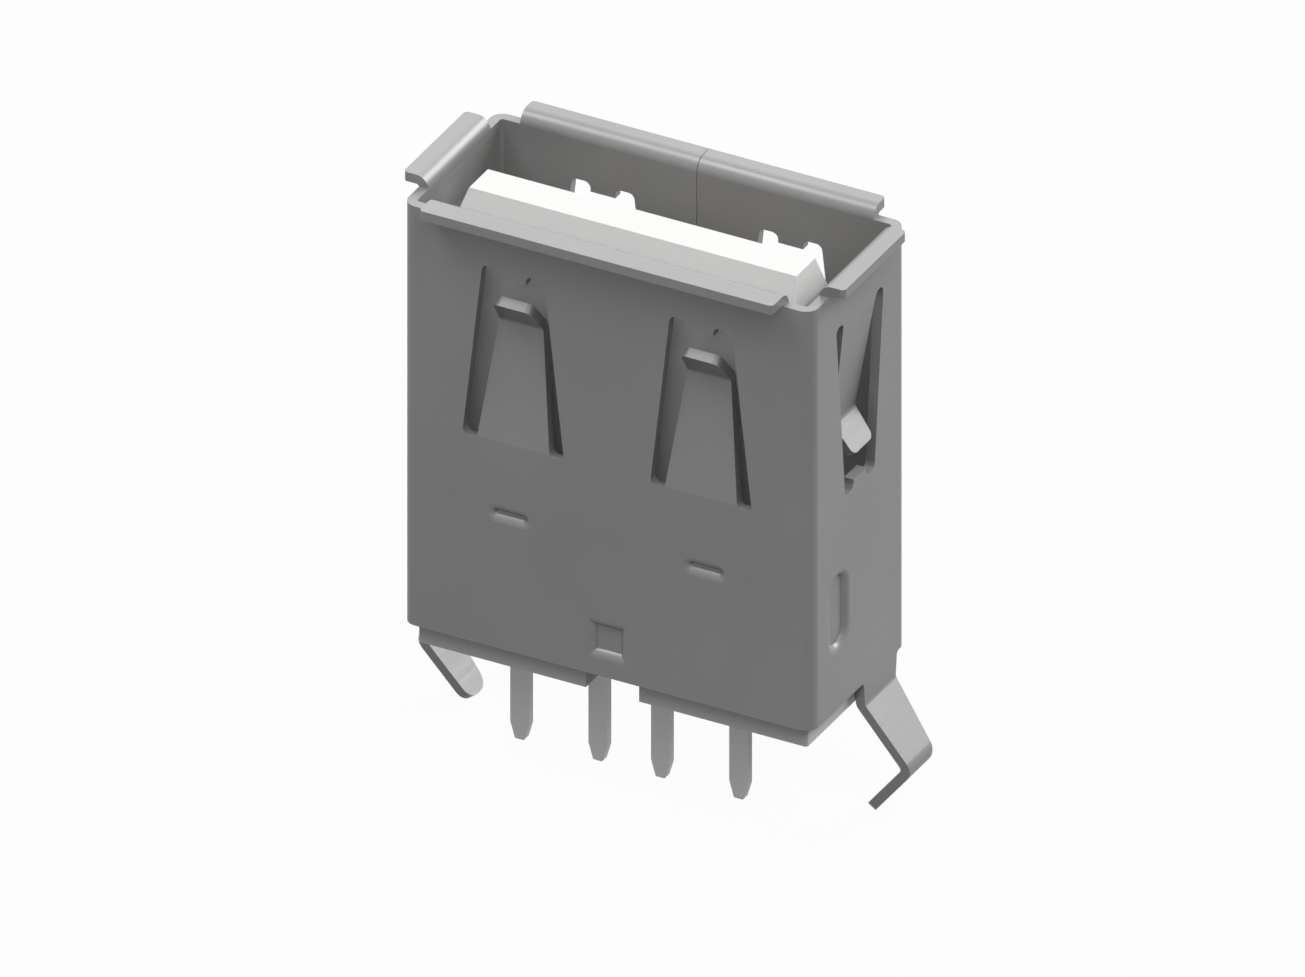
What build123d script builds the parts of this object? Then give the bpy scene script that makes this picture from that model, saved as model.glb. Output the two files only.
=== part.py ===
from build123d import *
import math
import os

# Upright USB-A board socket. Millimetres, +Z up out of the mouth, -Y the side with the square dimple.
# The origin lies on the board's surface, in the middle of the shell's outline.

# Shell: one folded sheet
sheet = 0.30
mouth_width = 12.50
mouth_depth = 5.12
corner_inside = 0.10
wall_height = 13.80
standoff = 0.72
seam_gap = 0.02
seam_round = 0.15

# Flanges folded outwards round the mouth; those of the sides lie round the same line as the side windows
side_middle_y = 0.036
flange_bend_inside = 0.10
flange_underside = 13.87
flange_corner = 0.13
long_flange_span = 11.30
side_flange_span = 3.75
front_flange_reach = 0.69
back_flange_reach = 0.45
side_flange_reach = 0.50

# Dovetail that locks the seam in the back wall
dovetail_height = 3.40
dovetail_root = 1.30
dovetail_tip = 2.10
dovetail_reach = 1.10

# Spring fingers and their windows: two in the front, two in the back, rooted at the bottom
long_window_x = 3.00
long_window_root = 6.75
long_window_length = 5.74
long_window_root_half = 1.63
long_window_tip_half = 0.99
long_tab_half = 0.40
long_tab_drop = 0.30
long_finger_root_half = 1.16
long_finger_lean = 3.80
long_finger_tip = 4.61
long_finger_tip_half = 0.60

# Spring fingers and their windows: one in each side, rooted at the top
side_window_root = 12.50
side_window_length = 5.75
side_window_root_half = 1.43
side_window_tip_half = 0.89
side_tab_half = 0.38
side_tab_drop = 0.28
side_finger_root_half = 0.98
side_finger_lean = 3.67
side_finger_tip = 4.52
side_finger_tip_half = 0.58

# Shared by all six fingers
finger_inset = 0.505
finger_proud = 0.12
finger_bend_inside = 0.19
finger_tip_round = 0.22
slot_round = 0.20
ear_round = 0.20

# Dimples pressed inwards, their mouth rounded by one sheet
press_depth = 0.15
square_dimple_height = 1.20
square_dimple_size = 1.30
groove_x = 3.13
groove_height = 4.42
groove_length = 1.44
groove_width = 0.61
side_dimple_y = -1.233
side_dimple_height = 3.16
side_dimple_length = 2.72
side_dimple_width = 1.345

# Board-lock legs under the side walls
lock_y = 1.274
lock_root_half = 1.00
lock_taper = 0.0976
lock_root_round = 0.13
lock_drop = 0.77
lock_spread_length = 2.44
lock_spread_angle = 35.5
lock_return_length = 2.35
lock_return_angle = 38.3
lock_bend_inside = 0.16
lock_tip_share = 0.97

# Housing: one moulding
housing_clearance = 0.03
housing_corner = 0.10
base_height = 5.70
notch_half = 0.85
notch_depth = 0.78
notch_height = 2.90
pocket_clearance = 0.06

# Tongue
tongue_tip = 14.58
tongue_front = -1.76
tongue_thickness = 1.84
tongue_width = 10.96
lead_in_height = 0.91
lead_in_front = 0.46
lead_in_back = 0.25
lead_in_side = 0.25

# Contacts: four stamped strips
outer_contact_x = 3.50
inner_contact_x = 1.00
contact_sheet = 0.25
contact_width = 1.00
contact_clearance = 0.03
contact_bend_inside = 0.15
tail_front = -1.53
tail_width = 0.60
tail_tip = -2.98
tail_tip_width = 0.30
tail_taper_length = 0.53
tail_tip_round = 0.06
tail_shoulder = 0.70
jog_start = 1.30
jog_slope = 45.0
groove_floor_depth = 0.62
blade_lean_start = 6.60
blade_crown = 12.30
blade_proud = 0.42
blade_end = 13.40
blade_end_inset = 0.30
groove_end_margin = 0.12
barb_heights = (3.20, 4.10)
barb_length = 0.40
barb_reach = 0.02

# Sizes that follow from the values above
contact_places = (-outer_contact_x, -inner_contact_x, inner_contact_x, outer_contact_x)
outer_width = mouth_width + 2 * sheet
outer_depth = mouth_depth + 2 * sheet
corner_outside = corner_inside + sheet
shell_top = standoff + wall_height
weld = sheet / 10
finger_foot = sheet / 5
press_run = math.sqrt(sheet**2 - (sheet - press_depth) ** 2)
tongue_back = tongue_front + tongue_thickness
groove_floor = tongue_back - groove_floor_depth
blade_front = groove_floor + contact_clearance
jog_end = jog_start + (blade_front - tail_front) * math.tan(math.radians(jog_slope))


def plate(corners):
    """Flat face from corners given as x, y and the radius that rounds the corner."""
    points = [(x, y) for x, y, radius in corners]
    radii = [radius for x, y, radius in corners]
    return make_face(FilletPolyline(*points, radius=radii, close=True))


def mirrored(half):
    """The corners of a right half, given from bottom to top, and their mirror image."""
    return half + [(-x, y, radius) for x, y, radius in reversed(half)]


def strip_section(points, thickness, bend_inside):
    """Section of a bent strip that lies to the left of a line, every bend with one inside radius."""
    line = [Vector(x, y) for x, y in points]
    steps = [(end - start).normalized() for start, end in zip(line, line[1:])]
    lefts = [Vector(-step.Y, step.X) for step in steps]
    offset_line = [line[0] + lefts[0] * thickness]
    radii, offset_radii = [], []
    for corner, step, next_step, left, next_left in zip(line[1:], steps, steps[1:], lefts, lefts[1:]):
        mitre = (left + next_left) * (thickness / (1 + left.dot(next_left)))
        offset_line.append(corner + mitre)
        turns_left = step.cross(next_step).Z > 0
        radii.append(bend_inside + thickness * turns_left)
        offset_radii.append(bend_inside + thickness * (not turns_left))
    offset_line.append(line[-1] + lefts[-1] * thickness)
    all_radii = [0] + radii + [0, 0] + offset_radii[::-1] + [0]
    corners = [(p.X, p.Y, radius) for p, radius in zip(line + offset_line[::-1], all_radii)]
    return plate(corners)


def bent_strip(points, thickness, bend_inside, outline):
    """Strip bent in the YZ plane, with its outline punched along Z."""
    section = Plane.YZ * strip_section(points, thickness, bend_inside)
    reach = 2 * mouth_width
    return extrude(section, reach, both=True) & extrude(outline, reach, both=True)


def round_end(strip, end_face, radius):
    """Rounds the two corners of a strip's end, square to the sheet."""
    corners = end_face.edges().sort_by(SortBy.LENGTH)[:2]
    return fillet(corners, radius)


def wall_plane(name, along=0.0, height=0.0, turned=False):
    """Plane on a wall's outer face: x along the wall, y up and z outwards, or x and y turned half way."""
    normal = {"front": (0, -1), "back": (0, 1), "left": (-1, 0), "right": (1, 0)}[name]
    reach = outer_depth / 2 if normal[0] == 0 else outer_width / 2
    run = Vector(-normal[1], normal[0])
    origin = Vector(*normal) * reach + run * along + Vector(0, 0, standoff + height)
    return Plane(origin, x_dir=-run if turned else run, z_dir=Vector(*normal))


def wall_ring():
    """The four walls and their round corners, folded from one sheet."""
    outside = RectangleRounded(outer_width, outer_depth, corner_outside)
    inside = RectangleRounded(mouth_width, mouth_depth, corner_inside)
    return Pos(0, 0, standoff) * extrude(outside - inside, wall_height)


def flange(span, reach):
    """One flange, from one sheet below the wall's top to its lip."""
    start = wall_height - sheet
    points = [(flange_underside, reach), (flange_underside, 0), (start, 0)]
    section = Plane.YZ * strip_section(points, sheet, flange_bend_inside)
    strip = extrude(section, span / 2, both=True)
    lip_end = strip.faces().sort_by(Axis.Z)[-1]
    return round_end(strip, lip_end, flange_corner)


def flange_room(span):
    """The stretch of plain wall that a flange takes the place of."""
    start = wall_height - sheet
    return Pos(0, (start + wall_height) / 2, -sheet / 2) * Box(span, wall_height - start, 2 * sheet)


def window(length, root_half, tip_half, tab_half, tab_drop):
    """Tapered window with round corners and a square tab that leaves two ears at its far end."""
    half = [
        (root_half, 0, slot_round),
        (tip_half, length, ear_round),
        (tab_half, length, ear_round),
        (tab_half, length - tab_drop, 0),
    ]
    return extrude(plate(mirrored(half)), 2 * sheet, both=True)


def finger(root_half, lean_length, tip_length, tip_half):
    """Spring finger that leans into the mouth and flares out again, its root flared into the wall."""
    points = [(tip_length, finger_proud), (lean_length, -finger_inset), (finger_foot, 0), (0, 0)]
    foot_half = root_half + slot_round + weld
    taper = (root_half - tip_half) / tip_length
    past_tip = 2 * sheet
    half = [
        (foot_half, -sheet, 0),
        (foot_half, 0, 0),
        (root_half, 0, slot_round),
        (tip_half - taper * past_tip, tip_length + past_tip, 0),
    ]
    strip = bent_strip(points, sheet, finger_bend_inside, plate(mirrored(half)))
    return round_end(strip, strip.faces().sort_by(Axis.Y)[-1], finger_tip_round)


def long_window():
    """Window of the front and back walls."""
    return window(
        long_window_length, long_window_root_half, long_window_tip_half, long_tab_half, long_tab_drop
    )


def side_window():
    """Window of the side walls."""
    return window(
        side_window_length, side_window_root_half, side_window_tip_half, side_tab_half, side_tab_drop
    )


def long_finger():
    """Finger of the front and back walls."""
    return finger(long_finger_root_half, long_finger_lean, long_finger_tip, long_finger_tip_half)


def side_finger():
    """Finger of the side walls."""
    return finger(side_finger_root_half, side_finger_lean, side_finger_tip, side_finger_tip_half)


def recess_section(width):
    """Section of a pressed recess: a flat floor and walls that are arcs of one sheet's radius."""
    half = width / 2
    floor = half - press_run
    swing = math.acos(1 - press_depth / sheet) / 2
    middle = (half - sheet * math.sin(swing), -sheet * (1 - math.cos(swing)))
    right = ThreePointArc((half, 0), middle, (floor, -press_depth))
    left = ThreePointArc((-floor, -press_depth), (-middle[0], middle[1]), (-half, 0))
    return make_face([Line((-half, 0), (half, 0)), right, Line((floor, -press_depth), left @ 0), left])


def bulge_section(width):
    """Section of the bulge behind a recess, one sheet away from it all over."""
    half = width / 2
    floor = half - press_run
    low = -press_depth - sheet
    swing = math.acos(1 - press_depth / sheet) / 2
    middle = (floor + sheet * math.sin(swing), -press_depth - sheet * math.cos(swing))
    right = ThreePointArc((half, -sheet), middle, (floor, low))
    left = ThreePointArc((-floor, low), (-middle[0], middle[1]), (-half, -sheet))
    return make_face([Line((-half, -sheet), (half, -sheet)), right, Line((floor, low), left @ 0), left])


def round_press(section, length, width):
    """Pressing with round ends: the section along its length, and half of it turned at each end."""
    straight = (length - width) / 2
    body = extrude(Plane.XZ * section, straight, both=True)
    half_plane = Pos(width, 0, 0) * Box(2 * width, 4 * width, 4 * width)
    end = revolve((Plane.XZ * section) & half_plane, Axis.Z, 360)
    return body + Pos(0, straight, 0) * end + Pos(0, -straight, 0) * end


def square_press(section, size):
    """Pressing with mitred corners: the section both ways, kept where the two overlap."""
    one_way = extrude(Plane.XZ * section, size, both=True)
    other_way = Rot(0, 0, 90) * one_way
    return one_way & other_way


def pressings(section_of):
    """All pressings on their walls, as recesses or as the bulges behind them."""
    groove = Rot(0, 0, 90) * round_press(section_of(groove_width), groove_length, groove_width)
    side = round_press(section_of(side_dimple_width), side_dimple_length, side_dimple_width)
    square = square_press(section_of(square_dimple_size), square_dimple_size)
    placed = [wall_plane("front", 0, square_dimple_height) * square]
    for name in ("front", "back"):
        for along in (-groove_x, groove_x):
            placed.append(wall_plane(name, along, groove_height) * groove)
    placed.append(wall_plane("right", side_dimple_y, side_dimple_height) * side)
    placed.append(wall_plane("left", -side_dimple_y, side_dimple_height) * side)
    return placed


def lock_leg():
    """Board-lock leg: straight down, outwards and back inwards, tapering to a round tip."""
    spread = math.radians(lock_spread_angle)
    turn_back = math.radians(lock_return_angle)
    kink_y = -lock_drop - lock_spread_length * math.cos(spread)
    kink_z = lock_spread_length * math.sin(spread)
    tip_y = kink_y - lock_return_length * math.cos(turn_back)
    tip_z = kink_z - lock_return_length * math.sin(turn_back)
    points = [(0, 0), (-lock_drop, 0), (kink_y, kink_z), (tip_y, tip_z)]
    drop_half = lock_root_half - lock_taper * lock_drop
    kink_half = drop_half - lock_taper * lock_spread_length
    tip_half = kink_half - lock_taper * lock_return_length
    foot_half = lock_root_half + lock_root_round + weld
    half = [
        (foot_half, sheet, 0),
        (foot_half, 0, 0),
        (lock_root_half, 0, lock_root_round),
        (drop_half, -lock_drop, 0),
        (kink_half, kink_y, 0),
        (tip_half, tip_y, 0),
        (tip_half, tip_y - sheet, 0),
    ]
    strip = bent_strip(points, sheet, lock_bend_inside, plate(mirrored(half)))
    return round_end(strip, strip.faces().sort_by(Axis.Y)[0], lock_tip_share * tip_half)


def seam():
    """Hairline slot up the middle of the back wall, with one dovetail that locks its two edges."""
    low = standoff + dovetail_height
    path = [
        (0, -standoff),
        (0, low - dovetail_root / 2),
        (dovetail_reach, low - dovetail_tip / 2),
        (dovetail_reach, low + dovetail_tip / 2),
        (0, low + dovetail_root / 2),
        (0, shell_top + 2 * sheet),
    ]
    face = Plane.XZ * strip_section(path, seam_gap, seam_round)
    return Pos(seam_gap / 2, outer_depth / 2, 0) * extrude(face, outer_depth / 4, both=True)


def make_shell():
    """The folded shell: walls, windows, fingers, flanges, dimples, legs and the seam."""
    body = wall_ring()
    flanges = {
        "front": (0, long_flange_span, front_flange_reach),
        "back": (0, long_flange_span, back_flange_reach),
        "left": (-side_middle_y, side_flange_span, side_flange_reach),
        "right": (side_middle_y, side_flange_span, side_flange_reach),
    }
    for name, (along, span, reach) in flanges.items():
        body -= wall_plane(name, along) * flange_room(span)
        body += wall_plane(name, along) * flange(span, reach)
    for name in ("front", "back"):
        for along in (-long_window_x, long_window_x):
            place = wall_plane(name, along, long_window_root)
            body -= place * long_window()
            body += place * long_finger()
    for name, side in (("left", -1), ("right", 1)):
        place = wall_plane(name, side * side_middle_y, side_window_root, turned=True)
        body -= place * side_window()
        body += place * side_finger()
        body += wall_plane(name, side * lock_y) * lock_leg()
    for bulge in pressings(bulge_section):
        body += bulge
    for recess in pressings(recess_section):
        body -= recess
    return body - seam()


def housing_base():
    """Base block inside the shell, with the channel that the square dimple slides up."""
    width = mouth_width - 2 * housing_clearance
    depth = mouth_depth - 2 * housing_clearance
    block = extrude(RectangleRounded(width, depth, housing_corner), base_height)
    notch = Box(2 * notch_half, 2 * notch_depth, 2 * notch_height)
    return block - Pos(0, -depth / 2, 0) * notch


def tongue():
    """Contact tongue with a lead-in chamfer on all four sides of its tip."""
    middle = tongue_front + tongue_thickness / 2
    start = base_height - sheet
    straight_top = tongue_tip - lead_in_height
    body = Pos(0, middle, start) * extrude(Rectangle(tongue_width, tongue_thickness), straight_top - start)
    foot = Pos(0, middle, straight_top) * Rectangle(tongue_width, tongue_thickness)
    tip_width = tongue_width - 2 * lead_in_side
    tip_depth = tongue_thickness - lead_in_front - lead_in_back
    tip_middle = middle + (lead_in_front - lead_in_back) / 2
    tip = Pos(0, tip_middle, tongue_tip) * Rectangle(tip_width, tip_depth)
    return body + loft([foot, tip])


def dimple_pockets():
    """Pockets in the base that the shell's bulges snap into."""
    depth = 2 * (sheet + press_depth + pocket_clearance)
    room = 2 * pocket_clearance
    groove = Box(groove_length + room, groove_width + room, depth)
    side = Box(side_dimple_width + room, side_dimple_length + room, depth)
    pockets = []
    for name in ("front", "back"):
        for along in (-groove_x, groove_x):
            pockets.append(wall_plane(name, along, groove_height) * groove)
    pockets.append(wall_plane("right", side_dimple_y, side_dimple_height) * side)
    pockets.append(wall_plane("left", -side_dimple_y, side_dimple_height) * side)
    return pockets


def contact_room(x):
    """Room for one contact: a pocket open below, a slot up the base and a groove up the tongue."""
    width = contact_width + 2 * contact_clearance
    pocket_front = tail_front - contact_clearance
    slot_back = blade_front + contact_sheet + contact_clearance
    pocket_top = jog_end + contact_sheet
    pocket = Pos(x, (pocket_front + slot_back) / 2, pocket_top / 2) * Box(
        width, slot_back - pocket_front, pocket_top
    )
    slot = Pos(x, (groove_floor + slot_back) / 2, base_height / 2) * Box(
        width, slot_back - groove_floor, base_height
    )
    groove_top = blade_end + groove_end_margin
    groove = Pos(x, groove_floor + groove_floor_depth, (base_height + groove_top) / 2) * Box(
        width, 2 * groove_floor_depth, groove_top - base_height
    )
    return pocket + slot + groove


def make_housing():
    """The white moulding: base and tongue, less the pockets and the four contact rooms."""
    body = housing_base() + tongue()
    for pocket in dimple_pockets():
        body -= pocket
    for x in contact_places:
        body -= contact_room(x)
    return body


def contact_outline():
    """Front view of a contact: pointed tail, shoulders, and a blade with two pairs of barbs."""
    half = [
        (tail_tip_width / 2, tail_tip, tail_tip_round),
        (tail_width / 2, tail_tip + tail_taper_length, 0),
        (tail_width / 2, tail_shoulder - (contact_width - tail_width) / 2, 0),
        (contact_width / 2, tail_shoulder, 0),
    ]
    for height in barb_heights:
        half.append((contact_width / 2 + barb_reach, height, 0))
        half.append((contact_width / 2, height + barb_length, 0))
    half.append((contact_width / 2, tongue_tip, 0))
    return plate(mirrored(half))


def make_contact():
    """One stamped contact: straight tail, jog in the base and a blade crowned behind the tongue."""
    crown_front = tongue_back + blade_proud - contact_sheet
    end_front = tongue_back - contact_sheet - blade_end_inset
    points = [
        (end_front, blade_end),
        (crown_front, blade_crown),
        (blade_front, blade_lean_start),
        (blade_front, jog_end),
        (tail_front, jog_start),
        (tail_front, tail_tip - sheet),
    ]
    section = Plane.YZ * strip_section(points, contact_sheet, contact_bend_inside)
    blank = extrude(Plane.XZ * contact_outline(), 2 * mouth_depth, both=True)
    return extrude(section, mouth_width, both=True) & blank


def main():
    os.makedirs("parts", exist_ok=True)
    pieces = {"shell": make_shell(), "housing": make_housing()}
    contact = make_contact()
    for number, x in enumerate(contact_places, start=1):
        pieces[f"contact_{number}"] = Pos(x, 0, 0) * contact
    for name, piece in pieces.items():
        export_step(piece, f"parts/{name}.step")


main()
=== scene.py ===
"""Upright USB-A board socket: finishes for the CAD pieces, a pale floor, studio lamps and the camera."""

import math

import bpy
import numpy as np
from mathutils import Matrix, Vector


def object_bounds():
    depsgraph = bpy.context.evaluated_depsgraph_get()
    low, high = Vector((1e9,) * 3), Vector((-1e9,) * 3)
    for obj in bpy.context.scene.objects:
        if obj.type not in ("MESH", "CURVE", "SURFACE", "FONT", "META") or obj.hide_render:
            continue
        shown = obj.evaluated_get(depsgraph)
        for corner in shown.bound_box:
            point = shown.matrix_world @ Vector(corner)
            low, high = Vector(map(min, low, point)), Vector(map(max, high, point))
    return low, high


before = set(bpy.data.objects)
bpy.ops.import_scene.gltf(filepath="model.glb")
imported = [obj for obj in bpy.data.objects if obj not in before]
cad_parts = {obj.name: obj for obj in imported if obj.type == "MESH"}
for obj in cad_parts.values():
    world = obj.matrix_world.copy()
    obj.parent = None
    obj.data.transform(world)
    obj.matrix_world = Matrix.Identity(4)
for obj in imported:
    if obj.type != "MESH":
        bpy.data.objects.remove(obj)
CAD_BOX = [list(corner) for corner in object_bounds()]

bl_info = {
    "name": "Board Socket",
    "version": (1, 0, 0),
    "blender": (4, 5, 0),
    "location": "View3D > Sidebar > Socket",
    "description": "Finishes, floor, lamps and camera for an upright USB-A board socket",
    "category": "Object",
}

# One millimetre, in the scene's metres
MM = 0.001
CONTACTS = ("contact_1", "contact_2", "contact_3", "contact_4")
WHITE = (1.0, 1.0, 1.0, 1.0)

# The photograph's frame, in its own pixels, and the view worked out from it, in degrees
PHOTO_WIDTH = 1305
PHOTO_HEIGHT = 977
PIXELS_PER_MM = 35.40
VIEW_AZIMUTH = 27.9
VIEW_ELEVATION = 30.9
ORIGIN_PIXEL = (654.4, 653.8)

# The camera's distance from the socket and the nearest and farthest that it sees, in metres
CAMERA_DISTANCE = 0.25
CAMERA_NEAR = 0.001
CAMERA_FAR = 5.0

# Each lamp's azimuth and elevation in degrees, the side of its square in metres and its radiance
LAMPS = {
    "key": (58, 57, 0.26, 3.0),
    "front_left": (303, 62, 0.20, 5.6),
    "rear_right": (148, 28, 0.22, 8.0),
    "rear_left": (210, 38, 0.34, 1.65),
    "low_front": (10, 40, 0.24, 1.25),
}

# All lamps stand this far from the point in the socket that they face, in metres
LAMP_DISTANCE = 0.40
LAMP_TARGET = Vector((0, 0, 6 * MM))

# Strength of the floor's own white, and its share of what the camera sees: the rest keeps the shadow
FLOOR_GLOW = 1.2
FLOOR_GLOW_SHARE = 0.8

# Lines of the floor's grid, each way
FLOOR_LINES = 3

# Most of a noise's values lie between these two
NOISE_LOW = 0.3
NOISE_HIGH = 0.7

# Half of the height over which the tin turns into gold
GOLD_EDGE = 0.05 * MM


def linear(code):
    """Linear colour of an sRGB hex code, by the standard two-part curve."""
    values = [int(code[i : i + 2], 16) / 255 for i in (1, 3, 5)]
    return [v / 12.92 if v <= 0.04045 else ((v + 0.055) / 1.055) ** 2.4 for v in values]


def rgba(colour):
    """A colour property as the four numbers that a socket takes."""
    return (*colour, 1.0)


def add(tree, kind, inputs=None, **settings):
    """Adds one node. Each input is a value, or the output that feeds it."""
    node = tree.nodes.new(kind)
    for name, value in settings.items():
        setattr(node, name, value)
    for key, value in (inputs or {}).items():
        if isinstance(value, bpy.types.NodeSocket):
            tree.links.new(value, node.inputs[key])
        else:
            node.inputs[key].default_value = value
    return node


def new_material(name):
    """Empty node material with its tree, ready for a surface."""
    material = bpy.data.materials.new(name)
    material.use_nodes = True
    material.node_tree.nodes.clear()
    return material, material.node_tree


def finish_material(tree, surface):
    """Feeds the shader to the material's output."""
    add(tree, "ShaderNodeOutputMaterial", {"Surface": surface})


def main_shader(tree, inputs):
    """Adds the principled shader with its inputs and makes it the material's surface."""
    shader = add(tree, "ShaderNodeBsdfPrincipled", inputs)
    finish_material(tree, shader.outputs["BSDF"])


def stretched_noise(tree, spacing, detail):
    """Noise whose cells measure spacing = (x, y, z) metres on the object."""
    place = add(tree, "ShaderNodeTexCoord").outputs["Object"]
    scale = [1 / size for size in spacing]
    mapped = add(tree, "ShaderNodeMapping", {"Vector": place, "Scale": scale}).outputs["Vector"]
    noise = add(tree, "ShaderNodeTexNoise", {"Vector": mapped, "Scale": 1.0, "Detail": detail})
    return noise.outputs["Fac"]


def even_noise(tree, size, detail):
    """Noise whose cells measure the same size each way, in metres."""
    return stretched_noise(tree, (size, size, size), detail)


def spread(tree, noise, middle, swing):
    """A value that the noise takes up and down by swing about its middle."""
    limits = {
        "Value": noise,
        "From Min": NOISE_LOW,
        "From Max": NOISE_HIGH,
        "To Min": middle - swing,
        "To Max": middle + swing,
    }
    return add(tree, "ShaderNodeMapRange", limits).outputs["Result"]


def tinted(tree, noise, colour, swing):
    """The colour, made lighter and darker by the noise."""
    factor = spread(tree, noise, middle=1.0, swing=swing)
    shade = add(tree, "ShaderNodeVectorMath", {0: colour, "Scale": factor}, operation="SCALE")
    return shade.outputs["Vector"]


def relief(tree, height, strength, depth):
    """Normal of a surface on which a noise stands out by a depth in metres."""
    bump = add(tree, "ShaderNodeBump", {"Height": height, "Strength": strength, "Distance": depth})
    return bump.outputs["Normal"]


def seen_directly(tree):
    """One for rays from the camera and for those that a surface mirrors or lets through, else nought."""
    rays = add(tree, "ShaderNodeLightPath").outputs
    seen = rays["Is Camera Ray"]
    for kind in ("Is Glossy Ray", "Is Transmission Ray"):
        seen = add(tree, "ShaderNodeMath", {0: seen, 1: rays[kind]}, operation="MAXIMUM").outputs[0]
    return seen


def dress(node, material):
    """Gives a CAD node its material on every slot."""
    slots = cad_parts[node].material_slots
    if not slots:
        raise RuntimeError(f"{node} has no slot for its material")
    for slot in slots:
        slot.material = material


class ShellSettings(bpy.types.PropertyGroup):
    """Finish of the folded shell."""

    colour: bpy.props.FloatVectorProperty(
        name="Plating colour",
        description="Colour of the satin nickel",
        subtype="COLOR",
        size=3,
        min=0.0,
        max=1.0,
        default=linear("#989898"),
    )
    roughness: bpy.props.FloatProperty(
        name="Roughness",
        description="Mean roughness of the plating",
        subtype="FACTOR",
        min=0.0,
        max=1.0,
        default=0.36,
    )
    grain_spacing: bpy.props.FloatProperty(
        name="Grain spacing",
        description="Distance between the rolling lines",
        unit="LENGTH",
        min=0.01 * MM,
        default=0.09 * MM,
    )
    grain_length: bpy.props.FloatProperty(
        name="Grain length",
        description="Length of one rolling line along the strip",
        unit="LENGTH",
        min=0.1 * MM,
        default=3.0 * MM,
    )


class HousingSettings(bpy.types.PropertyGroup):
    """Finish of the white moulding."""

    colour: bpy.props.FloatVectorProperty(
        name="Plastic colour",
        description="Colour of the moulded plastic",
        subtype="COLOR",
        size=3,
        min=0.0,
        max=1.0,
        default=linear("#DCDCDB"),
    )
    roughness: bpy.props.FloatProperty(
        name="Roughness",
        description="Mean roughness of the moulding",
        subtype="FACTOR",
        min=0.0,
        max=1.0,
        default=0.65,
    )


class ContactSettings(bpy.types.PropertyGroup):
    """Finish of the four contacts."""

    tin: bpy.props.FloatVectorProperty(
        name="Tin colour",
        description="Colour of the matt tin on the tails",
        subtype="COLOR",
        size=3,
        min=0.0,
        max=1.0,
        default=linear("#BFBFBF"),
    )
    gold: bpy.props.FloatVectorProperty(
        name="Gold colour",
        description="Colour of the thin gold on the blades",
        subtype="COLOR",
        size=3,
        min=0.0,
        max=1.0,
        default=linear("#CDBF9C"),
    )
    roughness: bpy.props.FloatProperty(
        name="Roughness",
        description="Mean roughness of both platings",
        subtype="FACTOR",
        min=0.0,
        max=1.0,
        default=0.42,
    )
    gold_start: bpy.props.FloatProperty(
        name="Gold from",
        description="Height where the gold starts",
        unit="LENGTH",
        default=10.5 * MM,
    )


class StageSettings(bpy.types.PropertyGroup):
    """Floor under the socket."""

    floor_colour: bpy.props.FloatVectorProperty(
        name="Floor colour",
        description="Colour of the floor as it lights the object",
        subtype="COLOR",
        size=3,
        min=0.0,
        max=1.0,
        default=linear("#5C5C5C"),
    )
    floor_size: bpy.props.FloatProperty(
        name="Floor size",
        description="Side of the square floor",
        unit="LENGTH",
        default=1.2,
    )


class SOCKET_OT_shell(bpy.types.Operator):
    """Gives the folded shell its plated finish"""

    bl_idname = "socket.shell"
    bl_label = "Plate the shell"

    def execute(self, context):
        dress("shell", satin_nickel(context.scene.socket_shell))
        return {"FINISHED"}


class SOCKET_OT_housing(bpy.types.Operator):
    """Gives the moulding its white plastic"""

    bl_idname = "socket.housing"
    bl_label = "Mould the housing"

    def execute(self, context):
        dress("housing", white_polyester(context.scene.socket_housing))
        return {"FINISHED"}


class SOCKET_OT_contacts(bpy.types.Operator):
    """Gives the four contacts their tin and gold"""

    bl_idname = "socket.contacts"
    bl_label = "Plate the contacts"

    def execute(self, context):
        plating = tin_and_gold(context.scene.socket_contacts)
        for node in CONTACTS:
            dress(node, plating)
        return {"FINISHED"}


class SOCKET_OT_stage(bpy.types.Operator):
    """Makes the floor, the lamps, the world and the camera"""

    bl_idname = "socket.stage"
    bl_label = "Set the stage"

    def execute(self, context):
        make_floor(context.scene.socket_stage)
        make_lamps()
        make_world()
        make_camera()
        context.scene.view_settings.view_transform = "Standard"
        return {"FINISHED"}


def satin_nickel(settings):
    """Satin nickel, plated over rolled steel sheet before it was folded.

    The rolling lines stay faintly visible and run round the shell, along the strip that it was folded
    from. Real nickel is wholly metallic. The low metal share here was chosen to follow the
    photograph's flat shading, in which the relief shows and nothing is mirrored.
    """
    material, tree = new_material("satin_nickel_on_rolled_steel")
    along, across = settings.grain_length, settings.grain_spacing
    lines = stretched_noise(tree, (along, along, across), detail=2.0)
    clouds = even_noise(tree, size=4.0 * MM, detail=3.0)
    main_shader(
        tree,
        {
            "Base Color": tinted(tree, clouds, settings.colour, swing=0.03),
            "Metallic": 0.22,
            "Specular IOR Level": 0.1,
            "Roughness": spread(tree, lines, settings.roughness, swing=0.04),
            "Normal": relief(tree, lines, strength=0.25, depth=0.002 * MM),
        },
    )
    return material


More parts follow.
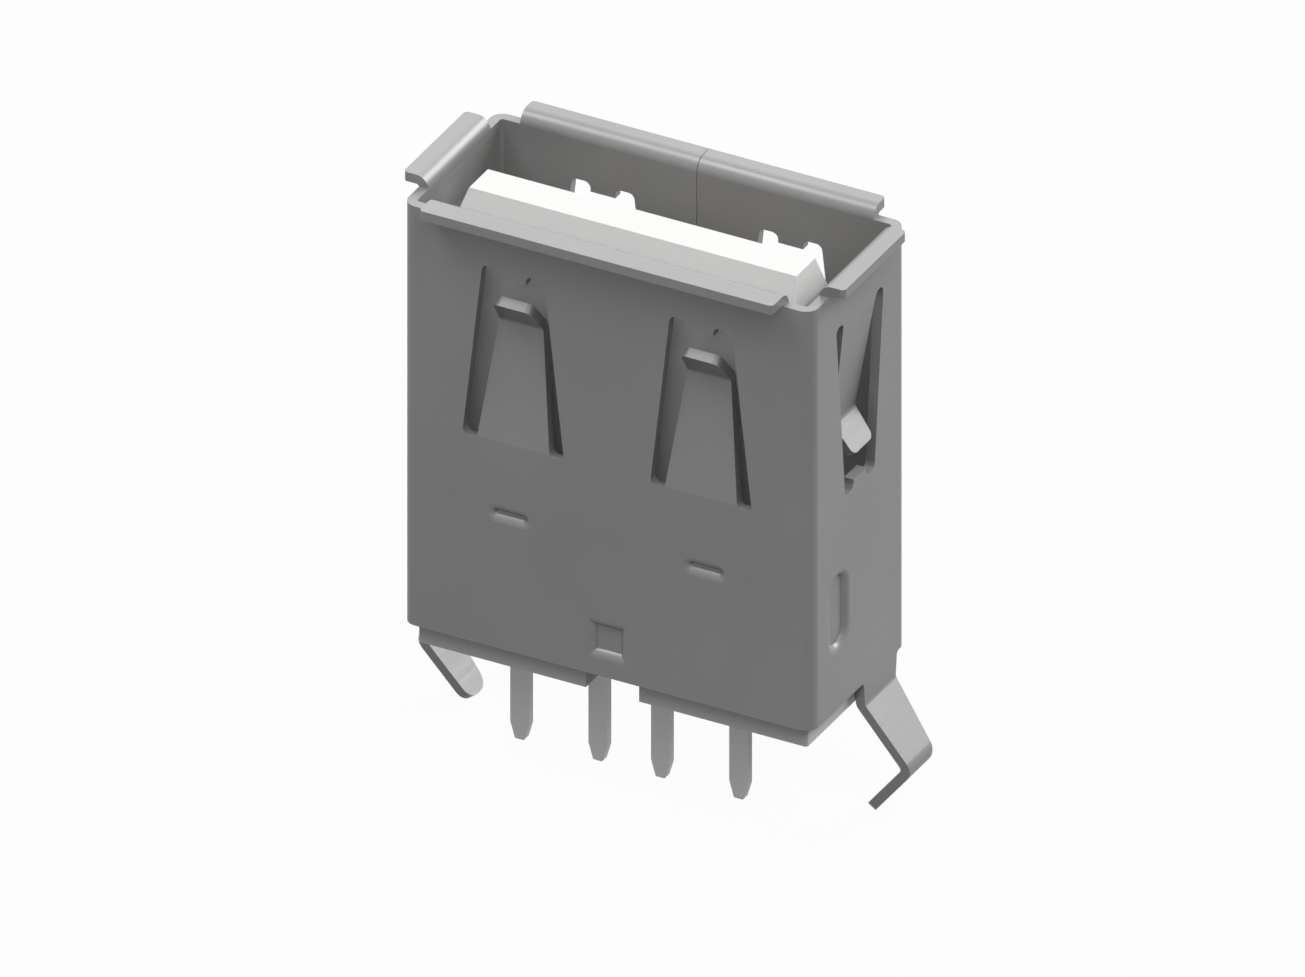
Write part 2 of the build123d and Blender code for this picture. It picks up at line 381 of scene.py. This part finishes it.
def white_polyester(settings):
    """White polyester (PBT) filled with glass, moulded in a spark-eroded tool.

    The tool leaves a fine matt texture, and the filling clouds the white a little.
    """
    material, tree = new_material("white_moulded_polyester")
    texture = even_noise(tree, size=0.06 * MM, detail=2.0)
    clouds = even_noise(tree, size=5.0 * MM, detail=3.0)
    main_shader(
        tree,
        {
            "Base Color": tinted(tree, clouds, settings.colour, swing=0.015),
            "Roughness": spread(tree, texture, settings.roughness, swing=0.05),
            "IOR": 1.57,
            "Normal": relief(tree, texture, strength=0.3, depth=0.003 * MM),
        },
    )
    return material


def tin_and_gold(settings):
    """Phosphor bronze strip: matt tin on the tail for solder, thin gold on the blade for the plug.

    The two meet at a level line, because the strip is dipped to a set depth. The metal share is low
    for the same reason as the shell's.
    """
    material, tree = new_material("tin_and_gold_on_bronze")
    grains = stretched_noise(tree, spacing=(0.05 * MM, 0.05 * MM, 0.25 * MM), detail=2.0)
    place = add(tree, "ShaderNodeTexCoord").outputs["Object"]
    height = add(tree, "ShaderNodeSeparateXYZ", {"Vector": place}).outputs["Z"]
    low, high = settings.gold_start - GOLD_EDGE, settings.gold_start + GOLD_EDGE
    gilded = add(tree, "ShaderNodeMapRange", {"Value": height, "From Min": low, "From Max": high})
    colours = {"Factor": gilded.outputs["Result"], "A": rgba(settings.tin), "B": rgba(settings.gold)}
    main_shader(
        tree,
        {
            "Base Color": add(tree, "ShaderNodeMix", colours, data_type="RGBA").outputs["Result"],
            "Metallic": 0.35,
            "Specular IOR Level": 0.1,
            "Roughness": spread(tree, grains, settings.roughness, swing=0.04),
            "Normal": relief(tree, grains, strength=0.2, depth=0.002 * MM),
        },
    )
    return material


def direction(azimuth, elevation):
    """Unit vector towards a camera or lamp, by the sphere's formula.

    The azimuth is counted from the front towards the right, and the elevation from level upwards.
    """
    a, e = math.radians(azimuth), math.radians(elevation)
    return Vector((math.sin(a) * math.cos(e), -math.cos(a) * math.cos(e), math.sin(e)))


def make_camera():
    """Parallel view: the photograph's width in millimetres, with the origin on its own pixel."""
    back = direction(VIEW_AZIMUTH, VIEW_ELEVATION)
    right = direction(VIEW_AZIMUTH + 90, 0)
    up = back.cross(right)
    across = (PHOTO_WIDTH / 2 - ORIGIN_PIXEL[0]) / PIXELS_PER_MM * MM
    above = (ORIGIN_PIXEL[1] - PHOTO_HEIGHT / 2) / PIXELS_PER_MM * MM
    data = bpy.data.cameras.new("camera")
    data.type = "ORTHO"
    data.ortho_scale = PHOTO_WIDTH / PIXELS_PER_MM * MM
    data.clip_start = CAMERA_NEAR
    data.clip_end = CAMERA_FAR
    camera = bpy.data.objects.new("camera", data)
    camera.location = right * across + up * above + back * CAMERA_DISTANCE
    camera.rotation_euler = back.to_track_quat("Z", "Y").to_euler()
    bpy.context.scene.collection.objects.link(camera)
    bpy.context.scene.camera = camera


def soft_lamp(name, azimuth, elevation, side, radiance):
    """Square soft lamp that faces the socket. Its power is its radiance times its area times pi."""
    towards = direction(azimuth, elevation)
    data = bpy.data.lights.new(name, "AREA")
    data.shape = "SQUARE"
    data.size = side
    data.energy = math.pi * side**2 * radiance
    lamp = bpy.data.objects.new(name, data)
    lamp.location = LAMP_TARGET + towards * LAMP_DISTANCE
    lamp.rotation_euler = towards.to_track_quat("Z", "Y").to_euler()
    bpy.context.scene.collection.objects.link(lamp)


def make_lamps():
    """A high key from the right front, a lamp from each other side and a faint one low in front."""
    for name, (azimuth, elevation, side, radiance) in LAMPS.items():
        soft_lamp(name, azimuth, elevation, side, radiance)


def make_world():
    """World that only the camera and reflections see, in plain white."""
    world = bpy.data.worlds.new("studio")
    bpy.context.scene.world = world
    world.use_nodes = True
    tree = world.node_tree
    tree.nodes.clear()
    white = add(tree, "ShaderNodeBackground", {"Color": WHITE, "Strength": seen_directly(tree)})
    add(tree, "ShaderNodeOutputWorld", {"Surface": white.outputs[0]})
    world.cycles.sampling_method = "NONE"


def make_floor(settings):
    """Flat square under the lowest point: x and y run over a grid, z stays level."""
    low = CAD_BOX[0][2]
    steps = np.linspace(-settings.floor_size / 2, settings.floor_size / 2, FLOOR_LINES)
    x, y = np.meshgrid(steps, steps)
    points = np.stack([x, y, np.full_like(x, low)], axis=-1).reshape(-1, 3)
    cells = np.arange(FLOOR_LINES - 1)
    corner = (cells[:, None] * FLOOR_LINES + cells).reshape(-1)
    around = [corner, corner + 1, corner + FLOOR_LINES + 1, corner + FLOOR_LINES]
    mesh = bpy.data.meshes.new("floor")
    mesh.from_pydata(points.tolist(), [], np.stack(around, axis=-1).tolist())
    floor = bpy.data.objects.new("floor", mesh)
    bpy.context.scene.collection.objects.link(floor)
    mesh.materials.append(pale_floor(settings))


def pale_floor(settings):
    """Matt paper, nearly white to the camera and in reflections.

    Some of its real shading is left, which shows the shadow.
    """
    material, tree = new_material("pale_paper")
    paper = add(tree, "ShaderNodeBsdfDiffuse", {"Color": rgba(settings.floor_colour)})
    glow = add(tree, "ShaderNodeEmission", {"Color": WHITE, "Strength": FLOOR_GLOW})
    parts = {0: seen_directly(tree), 1: FLOOR_GLOW_SHARE}
    share = add(tree, "ShaderNodeMath", parts, operation="MULTIPLY")
    layers = {0: share.outputs[0], 1: paper.outputs[0], 2: glow.outputs[0]}
    finish_material(tree, add(tree, "ShaderNodeMixShader", layers).outputs[0])
    material.cycles.emission_sampling = "NONE"
    return material


class SOCKET_PT_sidebar(bpy.types.Panel):
    """The steps, in the order in which they run"""

    bl_idname = "SOCKET_PT_sidebar"
    bl_label = "Board Socket"
    bl_space_type = "VIEW_3D"
    bl_region_type = "UI"
    bl_category = "Socket"

    def draw(self, context):
        for step in STEPS:
            self.layout.operator(step.bl_idname)


STEPS = (SOCKET_OT_shell, SOCKET_OT_housing, SOCKET_OT_contacts, SOCKET_OT_stage)
SETTINGS = {
    "socket_shell": ShellSettings,
    "socket_housing": HousingSettings,
    "socket_contacts": ContactSettings,
    "socket_stage": StageSettings,
}


def register():
    """Registers the settings, the steps and the panel."""
    for group in SETTINGS.values():
        bpy.utils.register_class(group)
    for name, group in SETTINGS.items():
        setattr(bpy.types.Scene, name, bpy.props.PointerProperty(type=group))
    for item in (*STEPS, SOCKET_PT_sidebar):
        bpy.utils.register_class(item)


def unregister():
    """Takes them back in the opposite order."""
    for item in reversed((*STEPS, SOCKET_PT_sidebar)):
        bpy.utils.unregister_class(item)
    for name in SETTINGS:
        delattr(bpy.types.Scene, name)
    for group in reversed(SETTINGS.values()):
        bpy.utils.unregister_class(group)


def main():
    """Runs every step in order."""
    register()
    bpy.ops.socket.shell()
    bpy.ops.socket.housing()
    bpy.ops.socket.contacts()
    bpy.ops.socket.stage()


if __name__ == "__main__":
    main()
